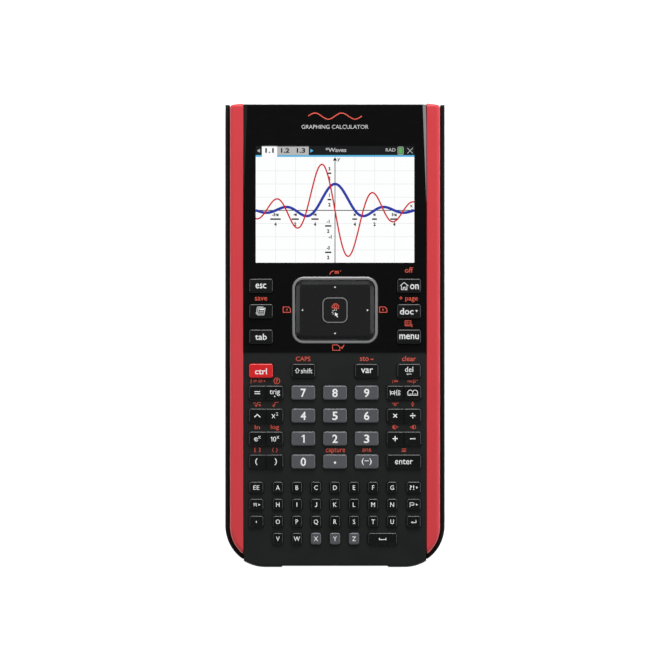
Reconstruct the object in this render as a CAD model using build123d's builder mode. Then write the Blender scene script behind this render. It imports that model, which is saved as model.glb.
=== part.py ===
from build123d import *
from math import atan, degrees, radians, sin
import os

# Handheld graphing calculator with its slide cover parked on the back. Millimetres.
# It lies face up: +Z leaves the keys, +Y points from the keyboard to the display.
# The origin is on the table, under the middle of the outline.

# Outline
body_length = 190.85  # bumper at the bottom to the side strips' tops
body_width = 86.4  # over the two side strips
body_depth = 14.7  # rear face to matte front face
strip_corner_radius = 14.5  # bottom corners of the side strips
strip_width = 5.55
strip_seam = 0.12  # between a strip and the front panel
strip_round = 1.7  # outer edge of a strip
strip_top_radius = 2.2
strip_inner_round = 0.35
strip_top_slope = 0.75  # the outer end of a strip's top is lower than its inner end
top_corner_radius = 1.0
panel_setback = 0.5  # the front panel stops this much below the strips' tops

# Walls
plate = 1.9  # front face plate
shelf = 1.6  # shoulder that carries the strips and the bezel
front_wall = 1.6
rear_wall = 2.0
rear_floor = 2.2
rear_edge_radius = 1.8
ledge = 1.0  # the bezel's seat
cross_bar = 4.0  # under the joint of the bezel and the matte panel
room_corner = 8.0
panel_edge_radius = 1.3
bezel_rise = 0.3  # glossy bezel over the matte panel
bezel_bevel_top = 1.5  # long bevel on each side of the bezel, at its wide end
bezel_bevel_low = 0.25
bezel_bevel_length = 34.0
fit_gap = 0.05  # between fixed pieces

# Slide cover and the groove that it runs in
cover_floor = 1.8
cover_wall = 1.8
cover_gap = 0.35  # cover wall to the body's side
cover_setback = 0.25  # the cover's open end, below the strips' tops
cover_edge_radius = 1.5
cover_rim_radius = 0.6
cover_rim = 12.0  # top of the cover's side walls
cover_end_gap = 0.4  # over the cover's low end wall
cover_notch = 0.7  # between the end of a side wall and the bumper
lip_width = 1.45
lip_height = 1.0
lip_setback = 4.5  # open end of the cover to the lips
groove_depth = 1.9
groove_width = 1.6
rear_side = 6.9  # height of the rear housing's side below the groove
grip_grooves = 7
grip_pitch = 2.6
grip_width = 1.3
grip_depth = 0.5
grip_length = 30.0
grip_margin = 22.0  # open end to the nearest grip groove

# Feet
foot_radius = 3.6
foot_height = 0.55
foot_recess = 0.4
foot_clearance = 0.35
foot_inset_x = 12.5
foot_inset_top = 24.0
foot_inset_bottom = 16.0

# Display
screen_width = 65.2
screen_height = 48.0
screen_margin = 17.65  # strip top to the picture
window_corner = 0.3
window_flange = 1.6
window_flange_thickness = 0.8
window_relief = 0.4  # air over the picture
window_rim = 0.6
glass_border = 2.3
glass_thickness = 1.4
tray_wall = 0.6
tray_floor = 0.5

# Front panel layout, measured from the bottom of the body or from the panel's sides
keypad_length = 88.2  # matte panel
touchpad_rise = 17.5  # matte panel's end to the touchpad's middle
letters_low = 11.85
numbers_low = 43.5
modifiers_low = 80.75
letter_row_pitch = 7.0
letter_column_pitch = 7.82
number_row_pitch = 9.43
number_column_pitch = 13.0
side_row_pitch = 10.45
side_row_drop = 0.45  # side keys' middle row, below the touchpad's middle
side_key_inset = 7.13
pair_key_inset = 9.23
letter_end_inset = 5.23

# Keys
key_width = 9.8
key_length = 5.8
pair_width = 14.3
letter_width = 4.3
letter_length = 4.8
letter_end_width = 5.9
space_width = 12.0
key_corner = 0.9
key_rise = 1.0  # key top over the matte panel
key_edge = 0.45
key_gap = 0.2  # key to its opening
key_travel = 0.8
flange_reach = 0.55
flange_thickness = 0.8
plunger_radius = 1.1
pair_plunger_offset = 3.6
pair_tilt = 2.5  # degrees to either side
pair_tab = 3.0
pair_groove = 0.4
pair_groove_depth = 0.5

# Keyboard stack below the keys
board_thickness = 1.2
dome_height = 0.3
dome_radius = 1.6
dome_slope = 60.0
dome_gap = 0.05  # plunger to dome with the key pressed home
mat_thickness = 2.0
mat_hole_gap = 0.2
mat_margin = 1.5  # mat to the display tray
board_side_gap = 0.7
board_end_gap = 1.0
board_corner = 10.0

# Touchpad
touchpad_width = 32.0
touchpad_length = 24.0
touchpad_corner = 3.2
touchpad_slope = 1.5
touchpad_slope_drop = 0.5
touchpad_skin = 1.6
touchpad_rise_over_bezel = 0.3
touchpad_tilt = 1.5  # degrees
ring_band = 1.1
ring_gap = (0.5, 0.6)  # beside and beyond the touchpad
ring_corner = 4.7
ring_edge = 0.3
ring_foot = 0.6
lug_width = 3.2
lug_thickness = 1.0
pivot_drop = 0.5  # hinge axes below the front plate's underside
pivot_radius = 0.4
pivot_gap = 0.05
pivot_pin = 1.5
carrier_bar = 1.2
carrier_inset = 0.5
carrier_thickness = 1.4
button_width = 10.6
button_length = 10.7
button_corner = 2.5
button_gap = 0.15
button_travel = 0.5
button_edge = 0.3
arrow_inset = (3.4, 4.4)  # touchpad's edge to the arrow plungers, beside and beyond

# Case screws
screw_radius = 0.9
screw_head_radius = 1.7
screw_head_height = 1.2
screw_length = 7.5
screw_recess = 1.6
screw_wall = 1.0
screw_inset = 5.0
screw_rows = (9.0, 87.0, 165.0)  # from the strips' tops
drive_radius = 0.8
drive_depth = 0.6

# Battery and its door
battery_width = 52.0
battery_length = 42.0
battery_thickness = 5.2
battery_corner = 2.0
battery_gap = 0.2
battery_low = 71.0  # bottom of the body to the battery's middle
door_width = 66.0
door_length = 54.0
door_thickness = 1.4
door_ledge = 5.0
door_gap = 0.15
door_corner = 3.0
door_tab = (8.0, 1.5, 0.8)  # width, reach and thickness
door_tab_offset = 18.0
door_screw_inset = 2.8
door_screw_radius = 0.8
door_head_radius = 1.5
door_head_height = 0.7
door_screw_length = 3.2
door_pillar_radius = 2.0
well_wall = 1.2

# Ports
usb_width = 7.7
usb_height = 3.9
usb_depth = 9.0
usb_wall = 0.4
usb_tongue = 1.2
usb_setback = 0.6
port_gap = 0.3
dock_width = 24.0
dock_height = 2.8
dock_depth = 5.0
dock_wall = 0.6
dock_pins = 12
dock_pin_pitch = 1.7
dock_pin_width = 0.8
dock_setback = 0.2
dock_recess_width = 43.0
dock_recess = 0.6

# Reset button, board posts and parts on the board
reset_radius = 1.4
reset_gap = 0.2
reset_stem_radius = 0.8
reset_travel = 0.5
reset_setback = 0.9
reset_x = 26.0
reset_from_top = 40.0
reset_switch = (3.2, 0.7)  # width and height
shield_size = 20.0
shield_height = 1.6
shield_sheet = 0.3
shield_from_top = 68.0
chip_size = 13.0
chip_height = 0.9
post_radius = 1.6
post_inset = 13.2
post_rows = (13.0, 66.0, 157.0)  # from the strips' tops

# Levels above the table
rear_face = cover_floor + foot_height + foot_clearance
rear_inside = rear_face + rear_floor
groove_low = rear_face + rear_side
groove_high = groove_low + groove_width
front_face = rear_face + body_depth
plate_under = front_face - plate
shelf_under = plate_under - shelf
bezel_face = front_face + bezel_rise
key_top = front_face + key_rise
flange_top = plate_under - fit_gap
flange_low = flange_top - flange_thickness
mat_top = flange_low - key_travel - dome_gap
board_top = mat_top - mat_thickness
board_under = board_top - board_thickness
dome_top = board_top + dome_height
plunger_low = dome_top + dome_gap + key_travel
touchpad_top = bezel_face + touchpad_rise_over_bezel
skin_under = touchpad_top - touchpad_skin
pivot_z = plate_under - pivot_drop

# Plan positions
top = body_length / 2
bottom = -body_length / 2
half_width = body_width / 2
cover_offset = cover_gap + cover_wall
cover_half = half_width + cover_offset
cover_corner = strip_corner_radius + cover_offset
body_low = bottom + cover_offset
strip_inside = half_width - strip_width
panel_half = strip_inside - strip_seam
panel_top = top - panel_setback
shoulder_half = half_width - groove_depth
shoulder_low = body_low + groove_depth
shoulder_corner = strip_corner_radius - groove_depth
cavity_half = shoulder_half - front_wall
cavity_low = shoulder_low + front_wall
cavity_top = panel_top - front_wall
room_half = panel_half - ledge
panel_split = bottom + keypad_length
touchpad_y = panel_split + touchpad_rise
screen_y = top - screen_margin - screen_height / 2
battery_y = bottom + battery_low
boss_radius = screw_radius + screw_wall
head_boss_radius = screw_head_radius + screw_wall
board_half = half_width - screw_inset - boss_radius - board_side_gap
side_x = panel_half - side_key_inset
pair_x = panel_half - pair_key_inset
letter_end_x = panel_half - letter_end_inset
modifier_y = bottom + modifiers_low
reset_at = (reset_x, top - reset_from_top)
shield_at = (0, top - shield_from_top)
usb_z = board_under - usb_height / 2
dock_z = (groove_low + plate_under) / 2
glass_width = screen_width + 2 * glass_border
glass_height = screen_height + 2 * glass_border
tray_low = screen_y - glass_height / 2 - fit_gap - tray_wall
ring_width = touchpad_width + 2 * (ring_gap[0] + ring_band)
ring_length = touchpad_length + 2 * (ring_gap[1] + ring_band)
carrier_width = touchpad_width - 2 * carrier_inset
carrier_length = touchpad_length - 2 * carrier_inset
screws_at = [(side * (half_width - screw_inset), top - row) for row in screw_rows for side in (-1, 1)]
posts_at = [(side * (half_width - post_inset), top - row) for row in post_rows for side in (-1, 1)]
door_screws_at = [
    (side * (door_width / 2 - door_screw_inset), battery_y - door_length / 2 + door_screw_inset)
    for side in (-1, 1)
]
feet_at = [
    (side * (half_width - foot_inset_x), y)
    for y in (top - foot_inset_top, body_low + foot_inset_bottom)
    for side in (-1, 1)
]


def side_row(step):
    """Middle of a row of side keys: 1 is the upper row, -1 the lower."""
    return touchpad_y - side_row_drop + step * side_row_pitch


def number_row(step):
    return bottom + numbers_low + step * number_row_pitch


def letter_keys(row):
    """Places and sizes of one row of the alphabet block, row 0 at the bottom."""
    y = bottom + letters_low + row * letter_row_pitch
    letter_size = (letter_width, letter_length)
    if row == 0:
        letters = [((step * letter_column_pitch, y), letter_size) for step in range(-3, 2)]
        return letters + [((2.5 * letter_column_pitch, y), (space_width, letter_length))]
    letters = [((step * letter_column_pitch, y), letter_size) for step in range(-3, 4)]
    return letters + [((side * letter_end_x, y), (letter_end_width, letter_length)) for side in (-1, 1)]


# Single keys: name, place and size
key_size = (key_width, key_length)
pair_size = (pair_width, key_length)
single_keys = {
    "key_escape": ((-side_x, side_row(1)), key_size),
    "key_scratchpad": ((-side_x, side_row(0)), key_size),
    "key_tab": ((-side_x, side_row(-1)), key_size),
    "key_home_on": ((side_x, side_row(1)), key_size),
    "key_document": ((side_x, side_row(0)), key_size),
    "key_menu": ((side_x, side_row(-1)), key_size),
    "key_control": ((-side_x, modifier_y), key_size),
    "key_shift": ((-number_column_pitch, modifier_y), key_size),
    "key_variable": ((number_column_pitch, modifier_y), key_size),
    "key_delete": ((side_x, modifier_y), key_size),
    "key_enter": ((pair_x, number_row(0)), pair_size),
}
number_names = (
    ("key_0", "key_point", "key_negative"),
    ("key_1", "key_2", "key_3"),
    ("key_4", "key_5", "key_6"),
    ("key_7", "key_8", "key_9"),
)
for row, names in enumerate(number_names):
    for column, name in enumerate(names):
        single_keys[name] = (((column - 1) * number_column_pitch, number_row(row)), key_size)

# Rocker keys: each carries two functions and tilts to either side
rocker_keys = {
    "rocker_brackets": (-pair_x, number_row(0)),
    "rocker_exponentials": (-pair_x, number_row(1)),
    "rocker_power_square": (-pair_x, number_row(2)),
    "rocker_equals_trig": (-pair_x, number_row(3)),
    "rocker_add_subtract": (pair_x, number_row(1)),
    "rocker_multiply_divide": (pair_x, number_row(2)),
    "rocker_templates": (pair_x, number_row(3)),
}
letter_rows = {f"letter_keys_row_{4 - row}": letter_keys(row) for row in range(4)}
letter_spots = [key for keys in letter_rows.values() for key in keys]

# Every place where a plunger meets a dome
arrow_x = touchpad_width / 2 - arrow_inset[0]
arrow_y = touchpad_length / 2 - arrow_inset[1]
arrows_at = [(side * arrow_x, touchpad_y) for side in (-1, 1)]
arrows_at += [(0, touchpad_y + side * arrow_y) for side in (-1, 1)]
domes_at = [place for place, size in list(single_keys.values()) + letter_spots]
domes_at += [(x + side * pair_plunger_offset, y) for x, y in rocker_keys.values() for side in (-1, 1)]
domes_at += arrows_at + [(0, touchpad_y)]


def body_plan(z, half, low, high, low_corner, high_corner=0):
    """A rectangle about the middle line, with its own corner radii at each end."""
    with BuildSketch(Plane.XY.offset(z)) as plan:
        with Locations((0, (low + high) / 2)):
            Rectangle(2 * half, high - low)
        fillet(plan.vertices().group_by(Axis.Y)[0], low_corner)
        if high_corner:
            fillet(plan.vertices().group_by(Axis.Y)[-1], high_corner)
    return plan.sketch


def panel_plan(z, half, high):
    """The middle of the outer outline, from the bumper up to high."""
    with BuildSketch(Plane.XY.offset(z)) as plan:
        Rectangle(2 * cover_half, body_length)
        fillet(plan.vertices().group_by(Axis.Y)[0], cover_corner)
        with Locations((0, (bottom + high) / 2)):
            Rectangle(2 * half, high - bottom, mode=Mode.INTERSECT)
    return plan.sketch


def block_plan(z, places, width, length, corner):
    """Equal rounded rectangles on one level."""
    with BuildSketch(Plane.XY.offset(z)) as plan:
        with Locations(*places):
            RectangleRounded(width, length, corner)
    return plan.sketch


def disc_plan(z, places, radius):
    """Equal discs on one level."""
    with BuildSketch(Plane.XY.offset(z)) as plan:
        with Locations(*places):
            Circle(radius)
    return plan.sketch


def key_plan(z, keys, margin):
    """Key outlines on one level, each let out by a margin."""
    with BuildSketch(Plane.XY.offset(z)) as plan:
        for place, (width, length) in keys:
            with Locations(place):
                RectangleRounded(width + 2 * margin, length + 2 * margin, key_corner + margin)
    return plan.sketch


def port_plan(y, z, width, height):
    """A rounded slot seen along Y."""
    with BuildSketch(Plane.XZ.offset(-y)) as plan:
        with Locations((0, z)):
            RectangleRounded(width, height, height / 4)
    return plan.sketch


def pin_plan(plane, place, radius):
    """A round pin's section on an upright plane."""
    with BuildSketch(plane) as plan:
        with Locations(place):
            Circle(radius)
    return plan.sketch


def save(piece, name):
    piece.part.label = name
    export_step(piece.part, f"parts/{name}.step")


os.makedirs("parts", exist_ok=True)

# Front housing: a shoulder with its walls, the matte keypad plate and the bumper
with BuildPart() as front_housing:
    extrude(
        body_plan(groove_low, shoulder_half, shoulder_low, panel_top, shoulder_corner, top_corner_radius),
        amount=plate_under - groove_low,
    )
    extrude(panel_plan(groove_low, panel_half, panel_split), amount=front_face - groove_low)
    bumper_rim = front_housing.faces().sort_by(Axis.Z)[-1].edges().sort_by(Axis.Y)[:3]
    fillet(bumper_rim, panel_edge_radius)
    extrude(
        body_plan(
            groove_low, cavity_half, cavity_low, cavity_top, shoulder_corner - front_wall, top_corner_radius
        ),
        amount=shelf_under - groove_low,
        mode=Mode.SUBTRACT,
    )
    # Room for the key flanges, and the opening that the bezel covers
    lower_room = (cavity_low + front_wall, panel_split - cross_bar / 2)
    upper_room = (panel_split + cross_bar / 2, cavity_top - ledge)
    extrude(
        body_plan(shelf_under, room_half, *lower_room, room_corner, top_corner_radius),
        amount=shelf,
        mode=Mode.SUBTRACT,
    )
    extrude(
        body_plan(shelf_under, room_half, *upper_room, top_corner_radius, top_corner_radius),
        amount=shelf,
        mode=Mode.SUBTRACT,
    )
    lower_keys = [key for key in single_keys.values() if key[0][1] < panel_split]
    lower_keys += [(place, pair_size) for place in rocker_keys.values()]
    lower_keys += letter_spots
    extrude(key_plan(plate_under, lower_keys, key_gap), amount=plate, mode=Mode.SUBTRACT)
    # Bosses for the case screws
    extrude(disc_plan(groove_low, screws_at, boss_radius), amount=shelf_under - groove_low)
    extrude(
        disc_plan(groove_low, screws_at, screw_radius + fit_gap),
        amount=rear_face + screw_recess + screw_length + drive_depth - groove_low,
        mode=Mode.SUBTRACT,
    )
    # Recess across the bumper, the dock's slot and the upper half of the USB opening
    recess_half = dock_recess_width / 2
    with BuildSketch(Plane.XY.offset(groove_low)):
        with BuildLine():
            Polyline(
                (-recess_half - dock_recess, bottom),
                (-recess_half, bottom + dock_recess),
                (recess_half, bottom + dock_recess),
                (recess_half + dock_recess, bottom),
                close=True,
            )
        make_face()
    extrude(amount=front_face - groove_low, mode=Mode.SUBTRACT)
    extrude(
        port_plan(bottom, dock_z, dock_width + 2 * port_gap, dock_height + 2 * port_gap),
        amount=-(cavity_low + front_wall - bottom),
        mode=Mode.SUBTRACT,
    )
    extrude(
        port_plan(panel_top, usb_z, usb_width + 2 * port_gap, usb_height + 2 * port_gap),
        amount=usb_depth,
        mode=Mode.SUBTRACT,
    )
save(front_housing, "front_housing")

# Glossy bezel over the upper half, with a long tapered bevel down each side
with BuildPart() as screen_bezel:
    with BuildSketch(Plane.XY.offset(plate_under)):
        with Locations((0, (panel_split + fit_gap + panel_top) / 2)):
            Rectangle(2 * panel_half, panel_top - panel_split - fit_gap)
    extrude(amount=bezel_face - plate_under)
    fillet(screen_bezel.faces().sort_by(Axis.Z)[-1].edges().sort_by(Axis.Y)[0], bezel_rise / 2)
    chamfer(screen_bezel.faces().sort_by(Axis.Z)[-1].edges().sort_by(Axis.Y)[-1], bezel_rise)
    for side in (-1, 1):
        upper = Vector(side * (panel_half - bezel_bevel_top), panel_top, bezel_face)
        lower = Vector(side * (panel_half - bezel_bevel_low), panel_top - bezel_bevel_length, bezel_face)
        edge = Vector(side * panel_half, panel_top, bezel_face - bezel_bevel_top / 2)
        outward = (lower - upper).cross(edge - upper) * side
        split(bisect_by=Plane(upper, x_dir=lower - upper, z_dir=outward), keep=Keep.BOTTOM)
    extrude(
        block_plan(plate_under, [(0, screen_y)], screen_width, screen_height, window_corner),
        amount=bezel_face - plate_under,
        mode=Mode.SUBTRACT,
    )
    extrude(
        block_plan(
            plate_under,
            [(0, screen_y)],
            screen_width + 2 * window_flange,
            screen_height + 2 * window_flange,
            window_flange,
        ),
        amount=window_flange_thickness,
        mode=Mode.SUBTRACT,
    )
    upper_keys = [key for key in single_keys.values() if key[0][1] > panel_split]
    extrude(key_plan(plate_under, upper_keys, key_gap), amount=bezel_face - plate_under, mode=Mode.SUBTRACT)
    extrude(
        block_plan(plate_under, [(0, touchpad_y)], ring_width, ring_length, ring_corner),
        amount=bezel_face - plate_under,
        mode=Mode.SUBTRACT,
    )
save(screen_bezel, "screen_bezel")

# Rear housing: a tray with the battery bay, screw bosses and board posts
with BuildPart() as rear_housing:
    extrude(
        body_plan(rear_face, half_width, body_low, panel_top, strip_corner_radius, top_corner_radius),
        amount=rear_side,
    )
    fillet(rear_housing.faces().sort_by(Axis.Z)[0].edges(), rear_edge_radius)
    extrude(
        body_plan(
            rear_inside,
            half_width - rear_wall,
            body_low + rear_wall,
            panel_top - rear_wall,
            strip_corner_radius - rear_wall,
            top_corner_radius,
        ),
        amount=rear_side - rear_floor,
        mode=Mode.SUBTRACT,
    )
    # Battery bay with its well, and the seat and pillars for the door
    bay_width = door_width - 2 * door_ledge
    bay_length = door_length - 2 * door_ledge
    battery_spot = [(0, battery_y)]
    extrude(
        block_plan(
            rear_inside, battery_spot, bay_width + 2 * well_wall, bay_length + 2 * well_wall, door_corner
        ),
        amount=rear_side - rear_floor,
    )
    extrude(
        disc_plan(rear_inside, door_screws_at, door_pillar_radius),
        amount=door_screw_length - door_head_height,
    )
    extrude(disc_plan(rear_inside, screws_at, head_boss_radius), amount=rear_side - rear_floor)
    extrude(disc_plan(rear_inside, posts_at, post_radius), amount=board_under - rear_inside)
    extrude(
        block_plan(rear_face, battery_spot, bay_width, bay_length, battery_corner),
        amount=rear_side,
        mode=Mode.SUBTRACT,
    )
    extrude(
        block_plan(
            rear_face,
            battery_spot,
            door_width + 2 * door_gap,
            door_length + 2 * door_gap,
            door_corner + door_gap,
        ),
        amount=door_thickness,
        mode=Mode.SUBTRACT,
    )
    # Pockets for the door's tabs
    tabs_at = [
        (side * door_tab_offset, battery_y + (door_length + door_tab[1]) / 2 + door_gap) for side in (-1, 1)
    ]
    tab_level = rear_face + door_thickness - door_tab[2]
    with BuildSketch(Plane.XY.offset(tab_level - fit_gap)):
        with Locations(*tabs_at):
            Rectangle(door_tab[0] + 2 * door_gap, door_tab[1] + 2 * door_gap)
    extrude(amount=door_tab[2] + fit_gap, mode=Mode.SUBTRACT)
    # Holes: case screws with their heads' recesses, door screws, reset button and feet
    extrude(
        disc_plan(rear_face, screws_at, screw_head_radius + door_gap),
        amount=screw_recess,
        mode=Mode.SUBTRACT,
    )
    extrude(disc_plan(rear_face, screws_at, screw_radius + fit_gap), amount=rear_side, mode=Mode.SUBTRACT)
    extrude(
        disc_plan(rear_face, door_screws_at, door_screw_radius + fit_gap),
        amount=door_head_height + door_screw_length + fit_gap,
        mode=Mode.SUBTRACT,
    )
    extrude(
        disc_plan(rear_face, [reset_at], reset_radius + reset_gap), amount=rear_floor, mode=Mode.SUBTRACT
    )
    extrude(disc_plan(rear_face, feet_at, foot_radius + fit_gap), amount=foot_recess, mode=Mode.SUBTRACT)
    extrude(
        port_plan(panel_top, usb_z, usb_width + 2 * port_gap, usb_height + 2 * port_gap),
        amount=usb_depth,
        mode=Mode.SUBTRACT,
    )
save(rear_housing, "rear_housing")

# Side strips: an angle section that wraps the shoulder and ends in a point beside the bumper
for side, name in ((-1, "side_strip_left"), (1, "side_strip_right")):
    with BuildPart() as strip:
        extrude(
            body_plan(groove_high, half_width, body_low, top, strip_corner_radius, strip_top_radius),
            amount=front_face - groove_high,
        )
        fillet(strip.faces().sort_by(Axis.Z)[-1].edges(), strip_round)
        with BuildSketch(Plane.XY.offset(groove_high)):
            with Locations((side * (strip_inside + strip_width / 2), 0)):
                Rectangle(strip_width, body_length)
        extrude(amount=front_face - groove_high, mode=Mode.INTERSECT)
        # The top slopes down towards the outer side
        with BuildSketch(Plane.XY.offset(groove_high)):
            with BuildLine():
                Polyline(
                    (side * strip_inside, top),
                    (side * half_width, top),
                    (side * half_width, top - strip_top_slope),
                    close=True,
                )
            make_face()
        extrude(amount=front_face - groove_high, mode=Mode.SUBTRACT)
        top_edges = strip.edges().filter_by(Axis.Y).group_by(Axis.Z)[-1].sort_by(Axis.X)
        inner_edge = top_edges[0 if side > 0 else -1]
        fillet(inner_edge, strip_inner_round)
        extrude(
            body_plan(
                groove_high,
                shoulder_half + fit_gap,
                shoulder_low - fit_gap,
                top,
                shoulder_corner + fit_gap,
                top_corner_radius,
            ),
            amount=plate_under - groove_high,
            mode=Mode.SUBTRACT,
        )
    save(strip, name)

# Display stack: clear window in the bezel, glass panel, backlight and their metal tray
screen_spot = [(0, screen_y)]
with BuildPart() as display_window:
    extrude(
        block_plan(
            plate_under,
            screen_spot,
            screen_width + 2 * (window_flange - fit_gap),
            screen_height + 2 * (window_flange - fit_gap),
            window_flange,
        ),
        amount=window_flange_thickness - fit_gap,
    )
    extrude(
        block_plan(
            plate_under, screen_spot, screen_width - 2 * fit_gap, screen_height - 2 * fit_gap, window_corner
        ),
        amount=bezel_face - plate_under,
    )
    extrude(
        block_plan(
            plate_under,
            screen_spot,
            screen_width + 2 * (window_flange - window_rim),
            screen_height + 2 * (window_flange - window_rim),
            window_corner,
        ),
        amount=window_relief,
        mode=Mode.SUBTRACT,
    )
save(display_window, "display_window")

glass_low = plate_under - fit_gap - glass_thickness
with BuildPart() as display_panel:
    extrude(
        block_plan(glass_low, screen_spot, glass_width, glass_height, window_corner),
        amount=glass_thickness,
    )
save(display_panel, "display_panel")

with BuildPart() as display_backlight:
    extrude(
        block_plan(board_top + tray_floor, screen_spot, glass_width, glass_height, window_corner),
        amount=glass_low - board_top - tray_floor,
    )
save(display_backlight, "display_backlight")

with BuildPart() as display_tray:
    tray_inside = (glass_width + 2 * fit_gap, glass_height + 2 * fit_gap)
    extrude(
        block_plan(
            board_top,
            screen_spot,
            tray_inside[0] + 2 * tray_wall,
            tray_inside[1] + 2 * tray_wall,
            tray_wall,
        ),
        amount=plate_under - fit_gap - board_top,
    )
    extrude(
        block_plan(board_top + tray_floor, screen_spot, *tray_inside, window_corner),
        amount=plate_under - board_top,
        mode=Mode.SUBTRACT,
    )
save(display_tray, "display_tray")

# Main board with its chips and reset switch on the rear side
with BuildPart() as main_board:
    board_plan = body_plan(
        board_under,
        board_half,
        cavity_low + board_end_gap,
        panel_top - rear_wall - board_end_gap,
        board_corner,
        top_corner_radius,
    )
    extrude(board_plan, amount=board_thickness)
    extrude(block_plan(board_under, [shield_at], chip_size, chip_size, fit_gap), amount=-chip_height)
    switch_width, switch_height = reset_switch
    extrude(block_plan(board_under, [reset_at], switch_width, switch_width, fit_gap), amount=-switch_height)
save(main_board, "main_board")

with BuildPart() as processor_shield:
    extrude(
        block_plan(board_under, [shield_at], shield_size, shield_size, shield_sheet),
        amount=-shield_height,
    )
    inside = shield_size - 2 * shield_sheet
    extrude(
        block_plan(board_under, [shield_at], inside, inside, shield_sheet),
        amount=-(shield_height - shield_sheet),
        mode=Mode.SUBTRACT,
    )
save(processor_shield, "processor_shield")

# Rubber mat with a well over every dome
with BuildPart() as keypad_mat:
    extrude(
        body_plan(
            board_top,
            board_half,
            cavity_low + board_end_gap,
            tray_low - mat_margin,
            board_corner,
            top_corner_radius,
        ),
        amount=mat_thickness,
    )
    extrude(
        disc_plan(board_top, domes_at, dome_radius + mat_hole_gap), amount=mat_thickness, mode=Mode.SUBTRACT
    )
save(keypad_mat, "keypad_mat")

with BuildPart() as contact_domes:
    extrude(disc_plan(board_top, domes_at, dome_radius), amount=dome_height, taper=dome_slope)
save(contact_domes, "contact_domes")

# Battery, door and screws
battery_face = rear_face + door_thickness + battery_gap
with BuildPart() as battery_pack:
    extrude(
        block_plan(battery_face, battery_spot, battery_width, battery_length, battery_corner),
        amount=battery_thickness,
    )
    fillet(battery_pack.edges().filter_by(Axis.Z, reverse=True), battery_corner / 4)
save(battery_pack, "battery_pack")

with BuildPart() as battery_door:
    extrude(
        block_plan(rear_face, battery_spot, door_width, door_length, door_corner), amount=door_thickness
    )
    with BuildSketch(Plane.XY.offset(tab_level)):
        with Locations(*tabs_at):
            Rectangle(door_tab[0], door_tab[1] + 2 * door_gap)
    extrude(amount=door_tab[2])
    extrude(
        disc_plan(rear_face, door_screws_at, door_head_radius + door_gap),
        amount=door_head_height,
        mode=Mode.SUBTRACT,
    )
    extrude(
        disc_plan(rear_face, door_screws_at, door_screw_radius + fit_gap),
        amount=door_thickness,
        mode=Mode.SUBTRACT,
    )
save(battery_door, "battery_door")


def make_screws(seat, places, radius, length, head_radius, head_height, name):
    """Screws driven up from the rear: the heads meet the seat from below."""
    with BuildPart() as screws:
        extrude(disc_plan(seat, places, radius), amount=length)
        extrude(disc_plan(seat, places, head_radius), amount=-head_height)
        with BuildSketch(Plane.XY.offset(seat - head_height)):
            with Locations(*places):
                RegularPolygon(drive_radius, 6)
        extrude(amount=drive_depth * head_height / screw_head_height, mode=Mode.SUBTRACT)
    save(screws, name)


make_screws(
    rear_face + screw_recess,
    screws_at,
    screw_radius,
    screw_length,
    screw_head_radius,
    screw_head_height,
    "case_screws",
)
make_screws(
    rear_face + door_head_height,
    door_screws_at,
    door_screw_radius,
    door_screw_length,
    door_head_radius,
    door_head_height,
    "battery_door_screws",
)

with BuildPart() as rubber_feet:
    extrude(disc_plan(rear_face - foot_height, feet_at, foot_radius), amount=foot_height + foot_recess)
    fillet(rubber_feet.faces().group_by(Axis.Z)[0].edges(), foot_height / 2)
save(rubber_feet, "rubber_feet")

# USB socket: a folded shell, open at the top end, with a contact tongue
with BuildPart() as usb_socket:
    mouth = panel_top - usb_setback
    extrude(port_plan(mouth, usb_z, usb_width, usb_height), amount=usb_depth)
    extrude(
        port_plan(mouth, usb_z, usb_width - 2 * usb_wall, usb_height - 2 * usb_wall),
        amount=usb_depth - usb_wall,
        mode=Mode.SUBTRACT,
    )
    extrude(
        port_plan(mouth - usb_tongue, usb_z, usb_width - 4 * usb_tongue, usb_tongue),
        amount=usb_depth - usb_tongue - usb_wall,
    )
save(usb_socket, "usb_socket")

# Dock connector: a shell with a row of pins, in the recess of the bumper
with BuildPart() as dock_connector:
    dock_face = bottom + dock_recess + dock_setback
    extrude(port_plan(dock_face, dock_z, dock_width, dock_height), amount=-dock_depth)
    extrude(
        port_plan(dock_face, dock_z, dock_width - 2 * dock_wall, dock_height - 2 * dock_wall),
        amount=-(dock_depth - dock_wall),
        mode=Mode.SUBTRACT,
    )
    with BuildSketch(Plane.XZ.offset(-dock_face - dock_depth)):
        with Locations((0, dock_z)):
            with GridLocations(dock_pin_pitch, dock_height, dock_pins, 1):
                Rectangle(dock_pin_width, dock_pin_width / 2)
    extrude(amount=dock_depth - dock_wall)
save(dock_connector, "dock_connector")

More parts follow.
